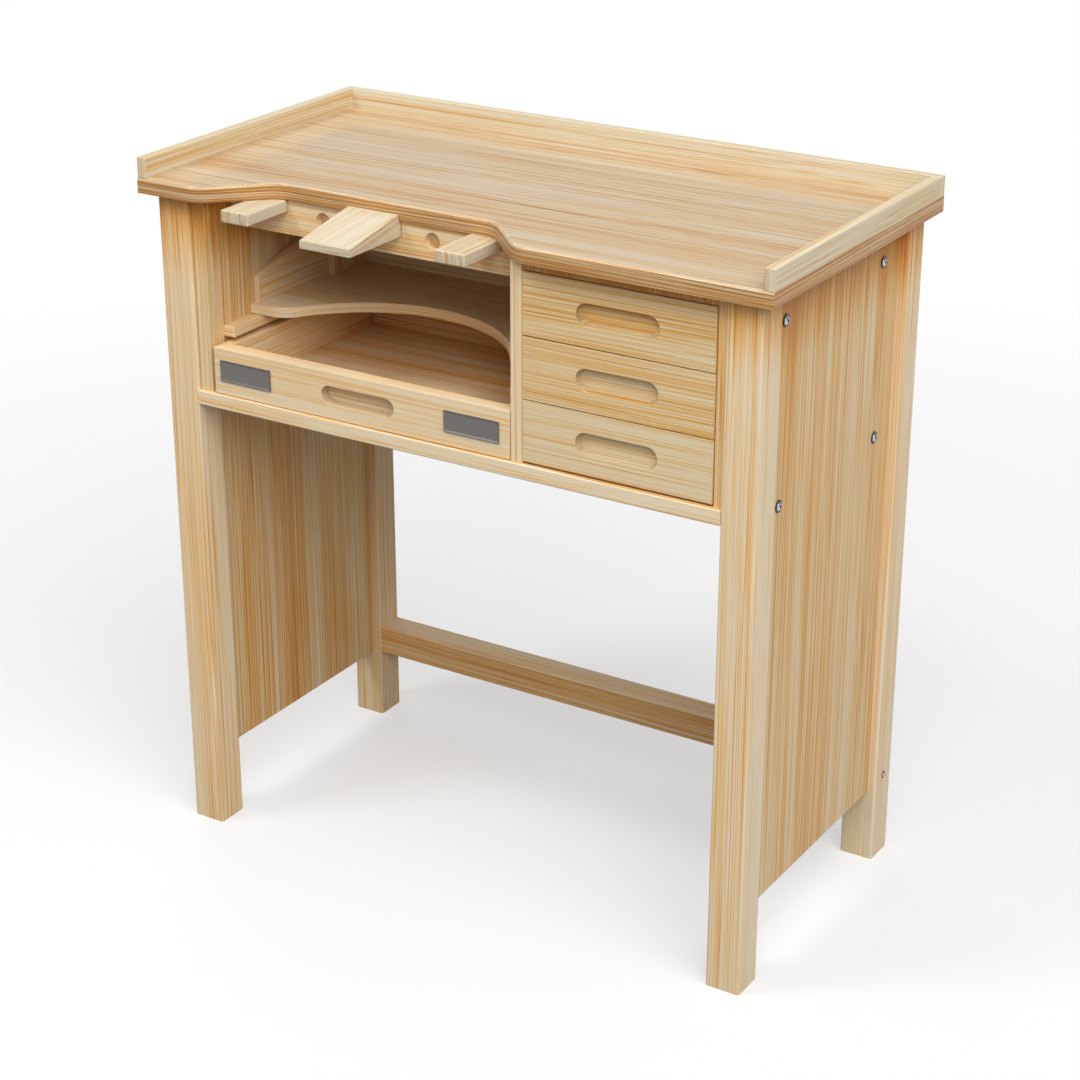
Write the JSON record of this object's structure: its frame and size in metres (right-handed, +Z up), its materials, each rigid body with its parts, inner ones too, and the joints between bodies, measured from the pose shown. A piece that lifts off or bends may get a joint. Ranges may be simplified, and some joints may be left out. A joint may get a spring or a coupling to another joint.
{
  "type": "jeweller's workbench",
  "caption": "Pale wooden jeweller's bench with a scooped, galleried top, bench pin, pull-out arm rests, sliding tray, catch drawer and side drawers.",
  "frame": {"origin": "on the floor, under the middle of the whole bench's plan rectangle, bench pin included", "axes": "+Z up, +X to the right and +Y to the back, as seen by a worker facing the bench"},
  "size_m": [0.9, 0.4906, 0.9475],
  "materials": {
    "lacquered_wood": "clear semi-gloss lacquer over pale straight-grained softwood",
    "sanded_wood": "sanded pale hardwood, the arm rests and the bench pin",
    "bright_steel": "bright plated steel"
  },
  "bodies": {
    "frame": {"table_top": "lacquered_wood", "left_gallery_rail": "lacquered_wood", "right_gallery_rail": "lacquered_wood", "back_gallery_rail": "lacquered_wood", "front_left_leg": "lacquered_wood", "front_right_leg": "lacquered_wood", "back_left_leg": "lacquered_wood", "back_right_leg": "lacquered_wood", "left_side_panel": "lacquered_wood", "right_side_panel": "lacquered_wood", "back_stretcher": "lacquered_wood", "bottom_board": "lacquered_wood", "left_case_side": "lacquered_wood", "right_case_side": "lacquered_wood", "bay_divider": "lacquered_wood", "back_panel": "lacquered_wood", "left_upper_front_bolt": "bright_steel", "left_upper_back_bolt": "bright_steel", "left_lower_front_bolt": "bright_steel", "left_lower_back_bolt": "bright_steel", "right_upper_front_bolt": "bright_steel", "right_upper_back_bolt": "bright_steel", "right_lower_front_bolt": "bright_steel", "right_lower_back_bolt": "bright_steel", "front_apron": "lacquered_wood", "arm_guide": "lacquered_wood", "drawer_top_rail": "lacquered_wood", "lower_dust_panel": "lacquered_wood", "upper_dust_panel": "lacquered_wood", "left_tray_runner": "lacquered_wood", "right_tray_runner": "lacquered_wood"},
    "upper_drawer": {"upper_drawer_front": "lacquered_wood", "upper_drawer_left_side": "lacquered_wood", "upper_drawer_right_side": "lacquered_wood", "upper_drawer_back": "lacquered_wood", "upper_drawer_bottom": "lacquered_wood"},
    "middle_drawer": {"middle_drawer_front": "lacquered_wood", "middle_drawer_left_side": "lacquered_wood", "middle_drawer_right_side": "lacquered_wood", "middle_drawer_back": "lacquered_wood", "middle_drawer_bottom": "lacquered_wood"},
    "lower_drawer": {"lower_drawer_front": "lacquered_wood", "lower_drawer_left_side": "lacquered_wood", "lower_drawer_right_side": "lacquered_wood", "lower_drawer_back": "lacquered_wood", "lower_drawer_bottom": "lacquered_wood"},
    "catch_drawer": {"catch_drawer_front": "lacquered_wood", "catch_drawer_left_side": "lacquered_wood", "catch_drawer_right_side": "lacquered_wood", "catch_drawer_back": "lacquered_wood", "catch_drawer_bottom": "lacquered_wood"},
    "tray": {"tray_floor": "lacquered_wood", "tray_back": "lacquered_wood", "tray_left_cheek": "lacquered_wood", "tray_right_cheek": "lacquered_wood", "tray_left_block": "lacquered_wood", "tray_right_block": "lacquered_wood"},
    "left_arm": {"left_arm_rest": "sanded_wood"},
    "right_arm": {"right_arm_rest": "sanded_wood"},
    "pin": {"bench_pin": "sanded_wood"}
  },
  "joints": [
    {"name": "upper_drawer_slide", "type": "slide", "parent": "frame", "child": "upper_drawer", "axis": [0, -1, 0], "range_m": [0, 0.3]},
    {"name": "middle_drawer_slide", "type": "slide", "parent": "frame", "child": "middle_drawer", "axis": [0, -1, 0], "range_m": [0, 0.3]},
    {"name": "lower_drawer_slide", "type": "slide", "parent": "frame", "child": "lower_drawer", "axis": [0, -1, 0], "range_m": [0, 0.3]},
    {"name": "catch_drawer_slide", "type": "slide", "parent": "frame", "child": "catch_drawer", "axis": [0, -1, 0], "range_m": [0, 0.26]},
    {"name": "tray_slide", "type": "slide", "parent": "frame", "child": "tray", "axis": [0, -1, 0], "range_m": [-0.08, 0.22]},
    {"name": "left_arm_slide", "type": "slide", "parent": "frame", "child": "left_arm", "axis": [0, -1, 0], "range_m": [-0.08, 0.12]},
    {"name": "right_arm_slide", "type": "slide", "parent": "frame", "child": "right_arm", "axis": [0, -1, 0], "range_m": [-0.08, 0.12]},
    {"name": "pin_slide", "type": "slide", "parent": "frame", "child": "pin", "axis": [0, -1, 0], "range_m": [0, 0.055]}
  ]
}
